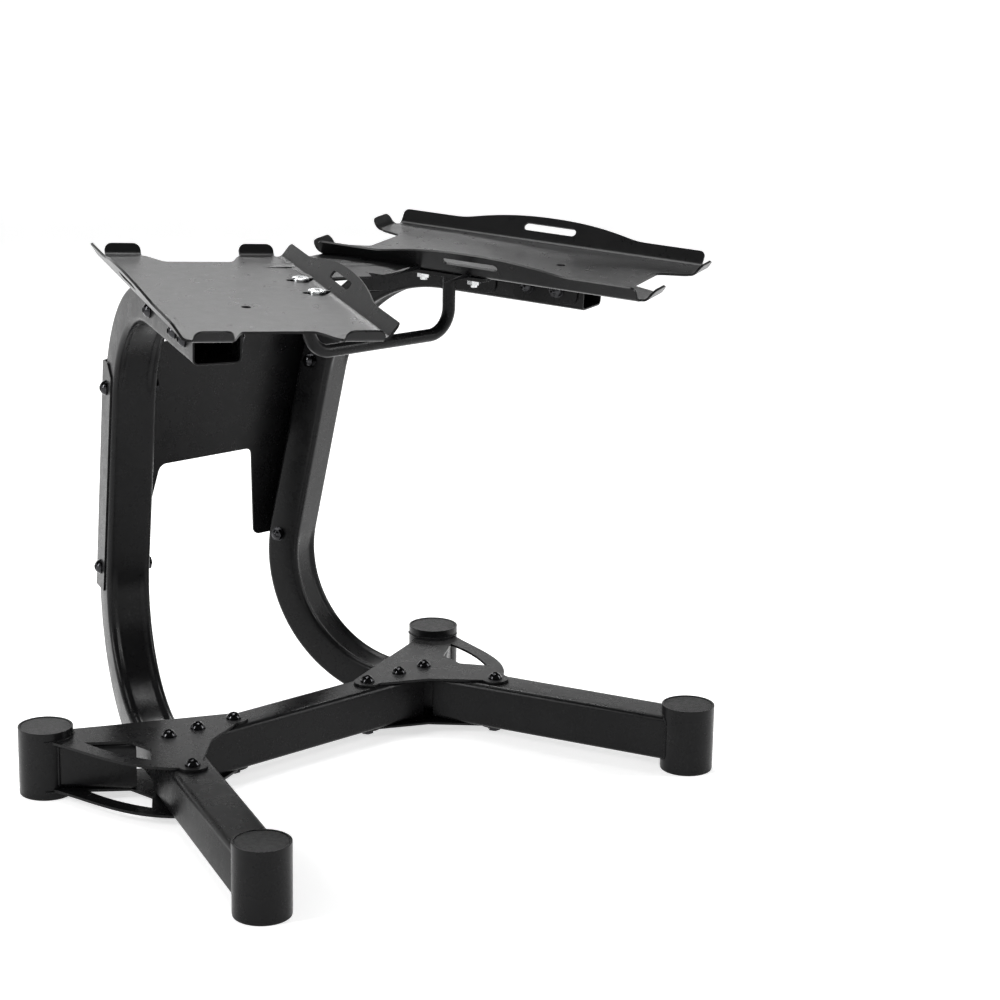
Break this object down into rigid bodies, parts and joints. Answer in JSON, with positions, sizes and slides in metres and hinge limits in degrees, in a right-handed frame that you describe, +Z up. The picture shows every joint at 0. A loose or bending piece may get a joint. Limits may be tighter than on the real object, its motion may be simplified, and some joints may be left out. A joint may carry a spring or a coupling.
{
  "type": "dumbbell stand",
  "caption": "Free-standing bolted steel floor stand with splayed tube base, two C-shaped uprights, back shield and a pair of upturned-edge trays for adjustable dumbbells.",
  "frame": {"origin": "on the floor, at the centre of the stand's outline in plan", "axes": "+Z up; the user stands at -Y, in the mouth of the C-shaped uprights; +X is the stand's right side seen from there"},
  "size_m": [0.7286, 0.561, 0.6075],
  "materials": {
    "frame_coat": "satin black powder coat",
    "tray_coat": "fine-textured black powder coat",
    "black_fastener": "black oxide, slightly glossy",
    "zinc_fastener": "bright zinc plate",
    "post_cap": "moulded black plastic, fine grain",
    "foot_plug": "moulded black plastic"
  },
  "bodies": {
    "root": {"arm_bolts": "black_fastener", "arm_nuts": "black_fastener", "arm_washers": "black_fastener", "back_shield": "frame_coat", "base_bolts": "black_fastener", "base_crossbar": "frame_coat", "base_nuts": "black_fastener", "base_washers": "black_fastener", "front_foot_plug_left": "foot_plug", "front_foot_plug_right": "foot_plug", "front_leg_left": "frame_coat", "front_leg_right": "frame_coat", "front_post_cap_left": "post_cap", "front_post_cap_right": "post_cap", "front_post_left": "frame_coat", "front_post_right": "frame_coat", "gusset_bottom_left": "frame_coat", "gusset_bottom_right": "frame_coat", "gusset_top_left": "frame_coat", "gusset_top_right": "frame_coat", "link_bar": "frame_coat", "link_tab_left": "frame_coat", "link_tab_right": "frame_coat", "rear_foot_plug_left": "foot_plug", "rear_foot_plug_right": "foot_plug", "rear_post_cap_left": "post_cap", "rear_post_cap_right": "post_cap", "rear_post_left": "frame_coat", "rear_post_right": "frame_coat", "rear_stub_left": "frame_coat", "rear_stub_right": "frame_coat", "shield_bolts": "black_fastener", "shield_nuts": "black_fastener", "shield_washers": "black_fastener", "tray_bolts": "zinc_fastener", "tray_bracket_left": "frame_coat", "tray_bracket_right": "frame_coat", "tray_left": "tray_coat", "tray_nuts": "zinc_fastener", "tray_right": "tray_coat", "tray_washers": "zinc_fastener", "upright_left": "frame_coat", "upright_right": "frame_coat"}
  },
  "joints": []
}
